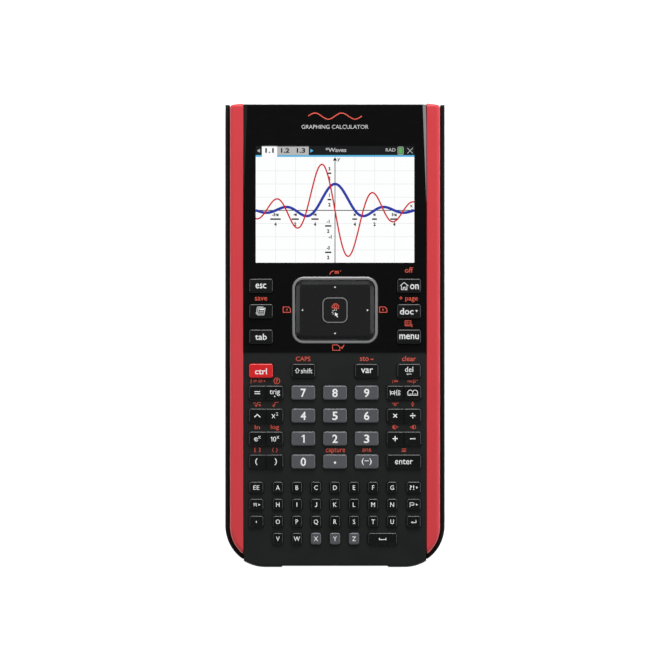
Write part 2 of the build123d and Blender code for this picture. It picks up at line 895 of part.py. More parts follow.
# Touchpad: a ring in the bezel, a gimbal frame, the plate that rocks on it, and its button
touchpad_spot = [(0, touchpad_y)]
lug_x = ring_width / 2 - ring_band
lug_level = pivot_z - (carrier_thickness + carrier_inset) / 2
with BuildPart() as touchpad_ring:
    extrude(
        block_plan(plate_under, touchpad_spot, ring_width - fit_gap, ring_length - fit_gap, ring_corner),
        amount=touchpad_top - plate_under,
    )
    chamfer(touchpad_ring.faces().sort_by(Axis.Z)[-1].edges(), ring_edge)
    extrude(
        block_plan(
            plate_under, touchpad_spot, ring_width + 2 * ring_foot, ring_length + 2 * ring_foot, ring_corner
        ),
        amount=-ring_foot,
    )
    extrude(
        block_plan(
            plate_under - ring_foot,
            touchpad_spot,
            ring_width - 2 * ring_band,
            ring_length - 2 * ring_band,
            ring_corner - ring_band,
        ),
        amount=touchpad_top - plate_under + ring_foot,
        mode=Mode.SUBTRACT,
    )
    # Lugs under the band hold the gimbal frame's pins
    with BuildSketch(Plane.XY.offset(lug_level)):
        with Locations(*[(side * lug_x, touchpad_y) for side in (-1, 1)]):
            Rectangle(lug_thickness, lug_width)
    extrude(amount=plate_under - lug_level)
    extrude(
        pin_plan(Plane.YZ, (touchpad_y, pivot_z), pivot_radius + pivot_gap),
        amount=ring_width,
        both=True,
        mode=Mode.SUBTRACT,
    )
save(touchpad_ring, "touchpad_ring")

carrier_low = pivot_z - carrier_thickness / 2
with BuildPart() as touchpad_carrier:
    extrude(
        block_plan(carrier_low, touchpad_spot, carrier_width, carrier_length, touchpad_corner),
        amount=carrier_thickness,
    )
    extrude(
        block_plan(
            carrier_low,
            touchpad_spot,
            carrier_width - 2 * carrier_bar,
            carrier_length - 2 * carrier_bar,
            touchpad_corner - carrier_bar,
        ),
        amount=carrier_thickness,
        mode=Mode.SUBTRACT,
    )
    for side in (-1, 1):
        pin_face = Plane.YZ.offset(side * (carrier_width - carrier_bar) / 2)
        extrude(
            pin_plan(pin_face, (touchpad_y, pivot_z), pivot_radius),
            amount=side * (carrier_bar / 2 + pivot_pin),
        )
    extrude(
        pin_plan(Plane.XZ.offset(-touchpad_y), (0, pivot_z), pivot_radius + pivot_gap),
        amount=carrier_length,
        both=True,
        mode=Mode.SUBTRACT,
    )
save(touchpad_carrier, "touchpad_carrier")

arrow_stroke = (arrow_x + plunger_radius) * sin(radians(touchpad_tilt)) + dome_gap
with BuildPart() as touchpad_plate:
    extrude(
        block_plan(skin_under, touchpad_spot, touchpad_width, touchpad_length, touchpad_corner),
        amount=touchpad_skin - touchpad_slope_drop,
    )
    extrude(
        block_plan(
            touchpad_top - touchpad_slope_drop,
            touchpad_spot,
            touchpad_width,
            touchpad_length,
            touchpad_corner,
        ),
        amount=touchpad_slope_drop,
        taper=degrees(atan(touchpad_slope / touchpad_slope_drop)),
    )
    extrude(
        block_plan(
            skin_under,
            touchpad_spot,
            button_width + 2 * button_gap,
            button_length + 2 * button_gap,
            button_corner + button_gap,
        ),
        amount=touchpad_skin,
        mode=Mode.SUBTRACT,
    )
    arrow_low = dome_top + arrow_stroke
    extrude(disc_plan(arrow_low, arrows_at, plunger_radius), amount=skin_under - arrow_low)
    # Lugs with pins for the gimbal frame's end bars
    plate_lug_y = carrier_length / 2 - carrier_bar - fit_gap * 4 - lug_thickness / 2
    with BuildSketch(Plane.XY.offset(carrier_low)):
        with Locations(*[(0, touchpad_y + side * plate_lug_y) for side in (-1, 1)]):
            Rectangle(lug_width, lug_thickness)
    extrude(amount=skin_under - carrier_low)
    for side in (-1, 1):
        pin_face = Plane.XZ.offset(-touchpad_y - side * plate_lug_y)
        extrude(
            pin_plan(pin_face, (0, pivot_z), pivot_radius),
            amount=-side * (lug_thickness / 2 + pivot_pin),
        )
save(touchpad_plate, "touchpad_plate")

button_low = skin_under - fit_gap - flange_thickness
with BuildPart() as touchpad_button:
    extrude(
        block_plan(button_low, touchpad_spot, button_width, button_length, button_corner),
        amount=touchpad_top - button_low,
    )
    fillet(touchpad_button.faces().sort_by(Axis.Z)[-1].edges(), button_edge)
    extrude(
        block_plan(
            button_low,
            touchpad_spot,
            button_width + 2 * flange_reach,
            button_length + 2 * flange_reach,
            button_corner + flange_reach,
        ),
        amount=flange_thickness,
    )
    button_plunger = dome_top + dome_gap + button_travel + arrow_stroke / 4
    extrude(disc_plan(button_plunger, touchpad_spot, plunger_radius), amount=button_low - button_plunger)
save(touchpad_button, "touchpad_button")

# Reset button: pressed from the rear with a pen, it reaches the switch on the board
stem_top = board_under - switch_height - reset_travel - dome_gap
with BuildPart() as reset_button:
    reset_low = rear_face + reset_setback
    extrude(
        disc_plan(reset_low, [reset_at], reset_radius), amount=rear_inside - reset_low + flange_thickness
    )
    extrude(
        disc_plan(rear_inside + fit_gap, [reset_at], reset_radius + flange_reach + reset_gap),
        amount=flange_thickness - fit_gap,
    )
    extrude(disc_plan(rear_inside, [reset_at], reset_stem_radius), amount=stem_top - rear_inside)
save(reset_button, "reset_button")

# Slide cover: a hard tray with a low end wall and a lip along each side
with BuildPart() as slide_cover:
    cover_top = top - cover_setback
    extrude(
        body_plan(0, cover_half, bottom, cover_top, cover_corner),
        amount=cover_rim,
    )
    fillet(slide_cover.faces().sort_by(Axis.Z)[0].edges().sort_by(Axis.Y)[:-1], cover_edge_radius)
    inside_half = half_width + cover_gap
    extrude(
        body_plan(
            cover_floor,
            inside_half,
            body_low - cover_gap,
            top,
            strip_corner_radius + cover_gap,
        ),
        amount=cover_rim - cover_floor,
        mode=Mode.SUBTRACT,
    )
    fillet(slide_cover.faces().filter_by(Axis.Z).sort_by(Axis.Z)[-1].edges(), cover_rim_radius)
    end_wall_top = groove_low - cover_end_gap
    with BuildSketch(Plane.XY.offset(end_wall_top)):
        with Locations((0, bottom)):
            Rectangle(2 * (panel_half + cover_notch), 2 * cover_corner)
    extrude(amount=cover_rim - end_wall_top, mode=Mode.SUBTRACT)
    # Lips in the body's grooves, along the straight part of each side
    lip_low = groove_low + (groove_width - lip_height) / 2
    lip_from = body_low + strip_corner_radius
    lip_to = cover_top - lip_setback
    with BuildSketch(Plane.XY.offset(lip_low)):
        lip_x = inside_half - lip_width / 2
        with Locations(*[(side * lip_x, (lip_from + lip_to) / 2) for side in (-1, 1)]):
            Rectangle(lip_width, lip_to - lip_from)
    extrude(amount=lip_height)
    # Grip grooves across the outside
    with BuildSketch(Plane.XY):
        first = cover_top - grip_margin
        with Locations(*[(0, first - step * grip_pitch) for step in range(grip_grooves)]):
            SlotOverall(grip_length, grip_width)
    extrude(amount=grip_depth, mode=Mode.SUBTRACT)
save(slide_cover, "slide_cover")


def press_keys(keys, name):
    """Keys that travel straight down: caps with a flange under the panel and a plunger each."""
    with BuildPart() as piece:
        extrude(key_plan(flange_low, keys, 0), amount=key_top - flange_low)
        fillet(piece.faces().group_by(Axis.Z)[-1].edges(), key_edge)
        extrude(key_plan(flange_low, keys, flange_reach), amount=flange_thickness)
        places = [place for place, size in keys]
        extrude(disc_plan(plunger_low, places, plunger_radius), amount=flange_low - plunger_low)
    save(piece, name)


for name, key in single_keys.items():
    press_keys([key], name)
for name, keys in letter_rows.items():
    press_keys(keys, name)

# Rocker keys: tabs at the middle let the cap tilt, and a plunger stands under each half
pair_stroke = (pair_plunger_offset + plunger_radius) * sin(radians(pair_tilt)) + dome_gap
tab_rise = flange_thickness - 2 * dome_gap - pair_tab / 2 * sin(radians(pair_tilt))
for name, place in rocker_keys.items():
    with BuildPart() as rocker:
        extrude(key_plan(flange_low, [(place, pair_size)], 0), amount=key_top - flange_low)
        fillet(rocker.faces().sort_by(Axis.Z)[-1].edges(), key_edge)
        with BuildSketch(Plane.XY.offset(key_top)):
            with Locations(place):
                Rectangle(pair_groove, key_length)
        extrude(amount=-pair_groove_depth, mode=Mode.SUBTRACT)
        with BuildSketch(Plane.XY.offset(flange_low)):
            with Locations(place):
                Rectangle(pair_tab, key_length + 2 * flange_reach)
        extrude(amount=tab_rise)
        plungers = [(place[0] + side * pair_plunger_offset, place[1]) for side in (-1, 1)]
        pair_low = dome_top + pair_stroke
        extrude(disc_plan(pair_low, plungers, plunger_radius), amount=flange_low - pair_low)
    save(rocker, name)
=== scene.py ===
import math

import bmesh
import bpy
import numpy as np
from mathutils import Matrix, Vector


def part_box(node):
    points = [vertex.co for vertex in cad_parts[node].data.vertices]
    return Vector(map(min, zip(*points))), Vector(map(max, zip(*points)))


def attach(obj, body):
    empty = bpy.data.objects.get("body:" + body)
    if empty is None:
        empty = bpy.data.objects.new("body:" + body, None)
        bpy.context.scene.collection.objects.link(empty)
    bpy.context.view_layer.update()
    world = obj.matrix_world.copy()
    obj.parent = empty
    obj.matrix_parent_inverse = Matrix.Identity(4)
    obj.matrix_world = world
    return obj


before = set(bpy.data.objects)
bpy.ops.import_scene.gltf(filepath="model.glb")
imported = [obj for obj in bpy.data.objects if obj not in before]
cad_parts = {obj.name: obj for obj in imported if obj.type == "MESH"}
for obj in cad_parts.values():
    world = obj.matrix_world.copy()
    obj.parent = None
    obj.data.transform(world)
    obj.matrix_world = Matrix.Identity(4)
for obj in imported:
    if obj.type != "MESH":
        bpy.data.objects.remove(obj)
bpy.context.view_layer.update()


# Rear housing, battery door and reset button. The rear shell is injection moulded in a black ABS
# blend with a fine spark-eroded texture; it carries the battery bay and the screw bosses. The door
# drops in from outside and the reset button stands in its own hole beside it.

class Signal:
    """A number that varies over a surface. Its + - * signs each add a Math node to the material."""

    def __init__(self, finish, socket):
        self.finish = finish
        self.socket = socket

    def sign(self, operation, first, second):
        return self.finish.node("Math", {"operation": operation}, {0: first, 1: second})

    def __add__(self, other):
        return self.sign("ADD", self, other)

    def __sub__(self, other):
        return self.sign("SUBTRACT", self, other)

    def __rsub__(self, other):
        return self.sign("SUBTRACT", other, self)

    def __mul__(self, other):
        return self.sign("MULTIPLY", self, other)

    __radd__ = __add__
    __rmul__ = __mul__


class Finish:
    """One material: a Principled shader with its fixed numbers, and the nodes that feed it."""

    def __init__(self, name, colour, **fixed):
        self.material = bpy.data.materials.new(name)
        self.material.use_nodes = True
        self.tree = self.material.node_tree
        self.surface = self.tree.nodes["Principled BSDF"]
        self.surface.inputs["Base Color"].default_value = (*colour, 1)
        for socket, value in fixed.items():
            self.surface.inputs[socket.replace("_", " ")].default_value = value
        self.place = self.node("TexCoord", out="Object")

    def node(self, kind, settings=None, inputs=None, out=0):
        """Adds a node: its settings first, then the values and links of its sockets."""
        made = self.tree.nodes.new("ShaderNode" + kind)
        for setting, value in (settings or {}).items():
            if setting == "stops":
                made.color_ramp.elements[0].position, made.color_ramp.elements[1].position = value
            else:
                setattr(made, setting, value)
        for socket, value in (inputs or {}).items():
            if isinstance(value, Signal):
                self.tree.links.new(value.socket, made.inputs[socket])
            else:
                made.inputs[socket].default_value = value
        return Signal(self, made.outputs[out])

    def feed(self, socket, signal):
        self.tree.links.new(signal.socket, self.surface.inputs[socket])

    def noise(self, size, detail=2.0):
        """Noise from 0 to 1 whose blotches are about size metres across."""
        return self.node("TexNoise", None, {"Vector": self.place, "Scale": 1 / size, "Detail": detail})

    def band(self, signal, low, high):
        """0 below low, 1 above high, and a straight ramp between them."""
        return self.node("MapRange", None, {0: signal, 1: low, 2: high})

    def blend(self, mask, first, second):
        """Colour first where the mask is 0, and second where it is 1."""
        colours = [colour if isinstance(colour, Signal) else (*colour, 1) for colour in (first, second)]
        inputs = {0: mask, 6: colours[0], 7: colours[1]}
        return self.node("Mix", {"data_type": "RGBA"}, inputs, out=2)

    def relief(self, height, depth, strength=0.5):
        """Bump from a height signal; depth is the relief in metres."""
        inputs = {"Strength": strength, "Distance": depth, "Height": height}
        self.feed("Normal", self.node("Bump", None, inputs, out="Normal"))


def moulded(name, colour, wear_and_highlight, roughness, grain=0.00022, depth=0.00002, wear_and_highlight_strength=0.55, dull=0.0, **fixed):
    """Textured plastic: fine grain, faint mottling, handling polish, and sides and edges paler in
    patches, partly handling wear and partly a painted highlight. wear_and_highlight_strength is how
    pale they go, and dull how much rougher they are than the rest."""
    finish = Finish(name, colour, **fixed)
    facing = finish.node("NewGeometry", out="Normal")
    steep = 1 - finish.band(finish.node("SeparateXYZ", None, {0: facing}, out=2), 0.55, 0.97)
    cloud = finish.noise(0.012, 3)
    specks = finish.band(finish.noise(0.0009, 4), 0.62, 0.75)
    # Painted highlight and wear: faces that do not look straight up turn paler in cloudy patches, for
    # handling wear and for light caught on edges
    worn_and_highlit = steep * finish.band(cloud, 0.35, 0.75)
    shade = finish.blend(cloud * 0.35, colour, [channel * 1.3 + 0.001 for channel in colour])
    finish.feed("Base Color", finish.blend(worn_and_highlit * wear_and_highlight_strength + specks * 0.06, shade, wear_and_highlight))
    polish = finish.band(cloud, 0.3, 0.7) * -0.07
    finish.feed("Roughness", polish + specks * 0.05 + steep * dull + roughness)
    finish.relief(finish.noise(grain, 3), depth)
    return finish


def dress(finish, *nodes):
    """Gives CAD nodes a finish."""
    for node in nodes:
        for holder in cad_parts[node].material_slots:
            holder.material = finish.material


# The second colour is for the paler sides and edges: partly wear, partly a painted highlight
case_black = moulded("case_black", (0.0052, 0.0058, 0.0057), (0.03, 0.032, 0.033), 0.5,
                     Specular_IOR_Level=0.3)
dress(case_black, "rear_housing", "battery_door", "front_housing", "touchpad_carrier")


# Rubber feet. Four discs of black silicone rubber, moulded flat and glued into shallow seats in the
# rear shell; they keep it off the desk when the cover is over the keys.

foot_rubber = moulded("foot_rubber", (0.014, 0.014, 0.014), (0.04, 0.04, 0.039), 0.78,
                      grain=0.0004, depth=0.00004)
dress(foot_rubber, "rubber_feet")


# Battery pack. A flat lithium cell in blue shrink wrap, which has drawn into slight wrinkles. It lies
# loose in its bay and the door holds it.

battery_wrap = Finish("battery_wrap", (0.03, 0.07, 0.2), Roughness=0.32, Coat_Weight=0.3)
wrinkles = battery_wrap.node("TexWave", {"bands_direction": "DIAGONAL"}, {
    "Vector": battery_wrap.place, "Scale": 220.0, "Distortion": 6.0, "Detail": 3.0,
})
battery_wrap.feed("Base Color", battery_wrap.blend(battery_wrap.noise(0.006),
                                                   (0.02, 0.05, 0.16), (0.04, 0.09, 0.26)))
battery_wrap.relief(wrinkles, 0.00006, 0.4)
dress(battery_wrap, "battery_pack")


# Main board. Green lacquer over etched copper: the copper runs stand a few hundredths proud and show
# through the lacquer as a paler green. Chips and the reset switch are soldered on its rear side.

board_green = Finish("board_green", (0.01, 0.09, 0.03), Roughness=0.3, Coat_Weight=0.4)
copper = board_green.node("TexBrick", {"offset": 0.37, "squash": 0.6, "squash_frequency": 3}, {
    "Vector": board_green.place, "Scale": 90.0, "Mortar Size": 0.035, "Brick Width": 0.9,
    "Row Height": 0.13,
}, out="Fac")
board_green.feed("Base Color", board_green.blend(copper, (0.008, 0.075, 0.026), (0.03, 0.17, 0.06)))
board_green.feed("Roughness", board_green.noise(0.004) * 0.12 + 0.24)
board_green.relief(copper, 0.00004, 0.6)
dress(board_green, "main_board")


# Shield, display tray and USB shell. Tinned sheet steel, cut and folded, with fine rolling lines along
# one direction. The shield is soldered over the processor; the tray holds the display stack.

def rolled_steel(name, colour, roughness, streak):
    """Metal with fine parallel rolling lines: noise stretched along one axis."""
    finish = Finish(name, colour, Metallic=1.0)
    long = finish.node("Mapping", None, {"Vector": finish.place, "Scale": streak})
    lines = finish.node("TexNoise", None, {"Vector": long, "Scale": 9000.0, "Detail": 3.0})
    stain = finish.noise(0.007, 3)
    finish.feed("Base Color", finish.blend(stain * 0.5, colour, [channel * 0.72 for channel in colour]))
    finish.feed("Roughness", lines * 0.16 + stain * 0.1 + roughness)
    finish.relief(lines, 0.00001, 0.35)
    return finish


sheet_steel = rolled_steel("sheet_steel", (0.58, 0.58, 0.57), 0.22, (1, 0.04, 1))
dress(sheet_steel, "processor_shield", "display_tray", "usb_socket")


# Screws and contact domes. Zinc-plated steel screws with hexagon sockets, and stamped stainless
# domes, one under every plunger, that click over when a key goes home.

screw_steel = rolled_steel("screw_steel", (0.5, 0.5, 0.51), 0.28, (1, 1, 0.1))
dress(screw_steel, "case_screws", "battery_door_screws", "contact_domes")


# Dock connector. Black glass-filled nylon, moulded round a row of stamped pins and soldered to the
# board's end; it shows in the slot of the bumper.

connector_black = moulded("connector_black", (0.011, 0.011, 0.011), (0.03, 0.03, 0.03), 0.4,
                          grain=0.00012)
dress(connector_black, "dock_connector")


# Keypad mat. One moulded sheet of grey silicone rubber with a well over every dome, laid on the board
# under the caps; slightly dusty.

mat_rubber = moulded("mat_rubber", (0.3, 0.31, 0.32), (0.4, 0.4, 0.4), 0.7, grain=0.0005, depth=0.00003)
dress(mat_rubber, "keypad_mat")


# Key caps. Injection moulded in ABS: dark ones for functions and letters, grey for the numerals and for
# X, Y and Z, red for the control key. Satin tops, and edges a little paler: partly handling wear,
# partly a painted highlight.

def cap_plastic(name, colour, wear_and_highlight):
    """Satin cap plastic: hardly any grain, and edges that are only a little paler, partly wear and
    partly a painted highlight, and a little duller.
    """
    return moulded(name, colour, wear_and_highlight, 0.3, depth=0.000003, wear_and_highlight_strength=0.2, dull=0.2)


black, grey = (0.0042, 0.0044, 0.0047), (0.07, 0.071, 0.078)
# The second colour of each cap is for its paler sides and edges: partly wear, partly a painted
# highlight
key_black = cap_plastic("key_black", black, (0.07, 0.073, 0.075))
key_grey = cap_plastic("key_grey", grey, (0.2, 0.2, 0.215))
key_red = cap_plastic("key_red", (0.5, 0.014, 0.016), (0.7, 0.07, 0.07))

numbers = [f"key_{digit}" for digit in range(10)] + ["key_point", "key_negative"]
caps = [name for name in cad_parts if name.startswith(("key_", "rocker_", "letter_"))]
dress(key_black, "reset_button", *[cap for cap in caps if cap not in numbers and cap != "key_control"])
dress(key_grey, *numbers)
dress(key_red, "key_control")

# The bottom row holds both colours: grey between the middle columns, black outside them
MM = 0.001
key_column = 7.82 * MM
key_mixed = cap_plastic("key_mixed", black, (0.07, 0.073, 0.075))
across = key_mixed.node("SeparateXYZ", None, {0: key_mixed.place}, out=0)
middle = 1 - key_mixed.band(key_mixed.node("Math", {"operation": "ABSOLUTE"}, {0: across}),
                            1.45 * key_column, 1.5 * key_column)
# The black outer keys keep their paler sides and edges: partly wear, partly a painted highlight
black_worn_and_highlit = Signal(key_mixed, key_mixed.surface.inputs["Base Color"].links[0].from_socket)
grey_top = key_mixed.blend(key_mixed.noise(0.012, 3) * 0.3, grey, (0.095, 0.096, 0.105))
key_mixed.feed("Base Color", key_mixed.blend(middle, black_worn_and_highlit, grey_top))
dress(key_mixed, "letter_keys_row_4")


# Legends. Two inks are pad printed and cured: white on the caps, orange on the panels. Each film
# stands a few hundredths of a millimetre proud, so every mark is a thin closed solid.

class Print:
    """Marks of one ink on one body, in millimetres about a centre, gathered into one mesh."""

    film = 0.035

    def __init__(self, name, body, level, ink, slot, centre=(0, 0)):
        self.name, self.body, self.level, self.ink, self.slot = name, body, level, ink, slot
        self.centre = centre
        self.points, self.faces, self.count = [], [], 0

    def gather(self, points, faces):
        """Takes a solid: its points as rows of x, y and height, and faces as lists of indices."""
        shifted = np.asarray(points, float) + (*self.centre, self.level)
        self.points.append(shifted)
        self.faces += [[index + self.count for index in face] for face in faces]
        self.count += len(shifted)

    def text(self, words, x, y, height, width=None, weight=0.012, middle=False):
        """Lettering. height is baseline to the tallest top, or of the whole mark when middle is set;
        the stated width squeezes it, and weight thickens its strokes."""
        curve = bpy.data.curves.new("words", "FONT")
        curve.body, curve.offset, curve.extrude, curve.resolution_u = words, weight, 0.5, 3
        writer = bpy.data.objects.new("words", curve)
        mesh = bpy.data.meshes.new_from_object(writer)
        spots = np.empty(len(mesh.vertices) * 3)
        mesh.vertices.foreach_get("co", spots)
        spots = spots.reshape(-1, 3)
        faces = [list(face.vertices) for face in mesh.polygons]
        bpy.data.objects.remove(writer)
        bpy.data.curves.remove(curve)
        bpy.data.meshes.remove(mesh)
        low, high = spots.min(0), spots.max(0)
        floor = low[1] if middle else 0
        scale = height / (high[1] - floor)
        spread = width / (high[0] - low[0]) if width else scale * 0.9
        flat_x = (spots[:, 0] - (low[0] + high[0]) / 2) * spread + x
        flat_y = (spots[:, 1] - (floor + high[1]) / 2) * scale + y
        self.gather(np.stack([flat_x, flat_y, (spots[:, 2] > 0) * self.film], 1), faces)

    def band(self, path, width, closed=False):
        """A flat bar along a path: each point moves half the width to either side, along the mean of
        the normals of its two runs, lengthened so that the bar keeps its width round corners."""
        path = np.asarray(path, float)
        runs = np.roll(path, -1, 0) - path
        if not closed:
            runs[-1] = runs[-2]
        runs /= np.linalg.norm(runs, axis=1, keepdims=True)
        before = np.roll(runs, 1, 0)
        if not closed:
            before[0] = runs[0]
        normal = np.stack([-(runs + before)[:, 1], (runs + before)[:, 0]], 1)
        normal /= np.linalg.norm(normal, axis=1, keepdims=True)
        reach = width / 2 / np.clip((normal * np.stack([-runs[:, 1], runs[:, 0]], 1)).sum(1), 0.4, 1)
        left, right = path + normal * reach[:, None], path - normal * reach[:, None]
        flat = np.concatenate([left, right, right, left], 1).reshape(-1, 4, 2)
        heights = np.tile([0, 0, self.film, self.film], (len(path), 1))
        count = len(path)
        ring = np.arange(count * 4).reshape(count, 4)
        following = np.roll(ring, -1, 0) if closed else ring[1:]
        first = ring if closed else ring[:-1]
        quads = np.stack([first, np.roll(first, -1, 1), np.roll(following, -1, 1), following], 2)
        quads = quads.reshape(-1, 4)
        faces = quads.tolist() if closed else quads.tolist() + [[3, 2, 1, 0], ring[-1].tolist()]
        self.gather(np.concatenate([flat, heights[:, :, None]], 2).reshape(-1, 3), faces)

    def patch(self, outline):
        """A filled shape: its outline twice, one film apart, with a wall between them."""
        outline = np.asarray(outline, float)
        count = len(outline)
        points = np.concatenate([np.c_[outline, np.full(count, height)] for height in (0, self.film)])
        around = np.arange(count)
        onward = np.roll(around, -1)
        walls = np.stack([around, onward, onward + count, around + count], 1).tolist()
        self.gather(points, walls + [around[::-1].tolist(), (around + count).tolist()])

    def finish(self):
        mesh = bpy.data.meshes.new(self.name)
        mesh.from_pydata(np.concatenate(self.points) * MM, [], self.faces)
        work = bmesh.new()
        work.from_mesh(mesh)
        bmesh.ops.remove_doubles(work, verts=work.verts, dist=1e-7)
        bmesh.ops.recalc_face_normals(work, faces=work.faces)
        work.to_mesh(mesh)
        work.free()
        mesh.materials.append(self.ink.material)
        piece = bpy.data.objects.new(self.name, mesh)
        bpy.context.scene.collection.objects.link(piece)
        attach(piece, self.body)
        return piece


def ink(name, colour):
    """Cured pad-printing ink: a thin dull film with pinholes where the pad lifted."""
    finish = Finish(name, colour)
    pinholes = finish.band(finish.noise(0.0001, 3), 0.66, 0.74)
    thin = [channel * 0.6 for channel in colour]
    finish.feed("Base Color", finish.blend(pinholes * 0.25, colour, thin))
    finish.feed("Roughness", finish.noise(0.002) * 0.15 + 0.42)
    return finish


white_ink = ink("white_ink", (0.7, 0.71, 0.71))
orange_ink = ink("orange_ink", (0.6, 0.075, 0.045))


def arc(x, y, radius, start=0, end=360, steps=20):
    """Points on a circle between two angles in degrees."""
    turn = np.radians(np.linspace(start, end, steps, endpoint=abs(end - start) < 360))
    return np.stack([x + radius * np.cos(turn), y + radius * np.sin(turn)], 1)


def rounded(x, y, width, height, radius, steps=5):
    """A rounded rectangle: four quarter circles about its corner centres."""
    corners = [(1, 1, 0), (-1, 1, 90), (-1, -1, 180), (1, -1, 270)]
    out, up = width / 2 - radius, height / 2 - radius
    return np.concatenate([
        arc(x + side * out, y + end * up, radius, turn, turn + 90, steps) for side, end, turn in corners
    ])


def arrowhead(x, y, size, turn=0):
    """A filled triangle that points along +X, turned by an angle in degrees."""
    shape = np.array([(-0.4, 0.6), (-0.4, -0.6), (0.55, 0)]) * size
    c, s = math.cos(math.radians(turn)), math.sin(math.radians(turn))
    return shape @ np.array([(c, s), (-s, c)]) + (x, y)


# What each cap says: the kind of mark, then its words or points, place and size
roof = [(-3.7, -0.05), (-2.0, 1.35), (-0.3, -0.05)]
walls = [(-3.1, 0.15), (-3.1, -1.6), (-2.35, -1.6), (-2.35, -0.65), (-1.65, -0.65), (-1.65, -1.6),
         (-0.9, -1.6), (-0.9, 0.15)]
half_pair = 3.6
cap_marks = {
    "key_escape": [("text", "esc", 0, -0.05, 1.95, 4.4, 0.008)],
    "key_tab": [("text", "tab", 0, 0, 2.5, 4.8, 0.008)],
    "key_menu": [("text", "menu", 0, 0, 1.95, 8.0, 0.008)],
    "key_document": [
        ("text", "doc", -0.95, 0, 2.6, 5.6, 0.008),
        ("patch", arrowhead(3.1, 0.1, 0.85, -90)),
    ],
    "key_home_on": [
        ("text", "on", 2.2, -0.35, 1.95, 3.6, 0.008),
        ("band", roof, 0.26),
        ("band", walls, 0.24),
    ],
    "key_scratchpad": [
        ("band", [(-1.4, -1.5), (1.2, -1.5), (1.75, 1.3), (-0.9, 1.3)], 0.22, True),
        ("patch", [(-0.65, 0.45), (1.25, 0.45), (1.37, 1.0), (-0.52, 1.0)]),
        ("band", [(-1.95, -1.3), (-1.45, 1.75), (0.9, 1.75)], 0.2),
        ("band", [(-0.75, -0.2), (1.1, -0.2)], 0.18),
        ("band", [(-0.9, -0.8), (0.95, -0.8)], 0.18),
    ],
    "key_control": [("text", "ctrl", 0, -0.15, 2.4, 4.9, 0.014)],
    "key_shift": [
        ("text", "shift", 1.35, 0.05, 2.1, 4.7, 0),
        ("text", "⇧", -2.5, 0.15, 2.1, 2.1, 0, True),
    ],
    "key_variable": [("text", "var", 0.15, 0.1, 1.9, 4.9, 0.004)],
    "key_delete": [
        ("text", "del", 0, 0.65, 2.05, 3.4, 0.004),
        ("band", [(1.1, -1.3), (-0.7, -1.3)], 0.2),
        ("patch", arrowhead(-0.75, -1.3, 0.6, 180)),
    ],
    "key_enter": [("text", "enter", 0, -0.05, 2.0, 7.4, 0.002)],
    "key_point": [("patch", arc(0, -0.4, 0.46))],
    "key_negative": [("text", "(−)", 0, 0, 2.8, 4.1, 0.01, True)],
    "rocker_equals_trig": [
        ("band", [(-half_pair - 1.15, 0.45), (-half_pair + 1.15, 0.45)], 0.34),
        ("band", [(-half_pair - 1.15, -0.4), (-half_pair + 1.15, -0.4)], 0.34),
        ("text", "trig", half_pair, 0.45, 2.0, 4.3, 0.002),
        ("patch", arrowhead(half_pair, -1.5, 0.62)),
    ],
    "rocker_power_square": [
        ("band", [(-half_pair - 1.2, -0.6), (-half_pair, 0.55), (-half_pair + 1.2, -0.6)], 0.38),
        ("text", "x", half_pair - 0.55, -0.2, 1.65, 1.6, 0),
        ("text", "2", half_pair + 0.95, 0.7, 1.3, 0.9, 0),
    ],
    "rocker_exponentials": [
        ("text", "e", -half_pair - 0.55, -0.25, 1.6, 1.5, 0),
        ("text", "x", -half_pair + 0.9, 0.55, 1.1, 1.1, 0),
        ("text", "0", half_pair - 0.1, -0.15, 1.95, 1.3, 0.002),
        ("patch", [(half_pair - 1.8, 0.35), (half_pair - 1.3, 0.82), (half_pair - 1.05, 0.82),
                   (half_pair - 1.05, -1.12), (half_pair - 1.35, -1.12), (half_pair - 1.35, 0.4),
                   (half_pair - 1.65, 0.12)]),
        ("text", "x", half_pair + 1.25, 0.6, 1.1, 1.1, 0),
    ],
    "rocker_brackets": [
        ("band", arc(-half_pair + 1.1, 0, 1.75, 130, 230), 0.34),
        ("band", arc(half_pair - 1.1, 0, 1.75, -50, 50), 0.34),
    ],
    "rocker_templates": [
        ("band", [(-half_pair - 2.0, -1), (-half_pair - 2.0, 1)], 0.24),
        ("band", rounded(-half_pair - 1.1, 0, 0.95, 0.95, 0.1, 2), 0.22, True),
        ("band", [(-half_pair - 0.2, -1), (-half_pair - 0.2, 1)], 0.24),
        ("band", [(-half_pair + 0.95, 1.15), (-half_pair + 0.6, 0.9), (-half_pair + 0.6, 0.2),
                  (-half_pair + 0.3, 0), (-half_pair + 0.6, -0.2), (-half_pair + 0.6, -0.9),
                  (-half_pair + 0.95, -1.15)], 0.22),
        ("band", rounded(-half_pair + 1.6, 0.6, 0.7, 0.7, 0.1, 2), 0.2, True),
        ("band", rounded(-half_pair + 1.6, -0.6, 0.7, 0.7, 0.1, 2), 0.2, True),
        ("band", arc(half_pair - 1.0, 0.1, 1.0, 0, 180, 9), 0.26),
        ("band", arc(half_pair + 1.0, 0.1, 1.0, 0, 180, 9), 0.26),
        ("band", [(half_pair - 2.0, 0.1), (half_pair - 2.0, -1.0), (half_pair + 2.0, -1.0),
                  (half_pair + 2.0, 0.1)], 0.26),
        ("band", [(half_pair, 0.1), (half_pair, -1.0)], 0.24),
        ("band", [(half_pair - 1.4, -0.5), (half_pair - 0.5, -0.5)], 0.24),
        ("band", [(half_pair + 0.5, -0.5), (half_pair + 1.4, -0.5)], 0.24),
    ],
    "rocker_multiply_divide": [
        ("text", "×", -half_pair, 0, 1.8, 1.8, 0.012, True),
        ("text", "÷", half_pair, 0, 2.2, 2.2, 0.004, True),
    ],
    "rocker_add_subtract": [
        ("text", "+", -half_pair, 0, 2.1, 2.1, 0.012, True),
        ("band", [(half_pair - 1.1, 0), (half_pair + 1.1, 0)], 0.38),
    ],
}
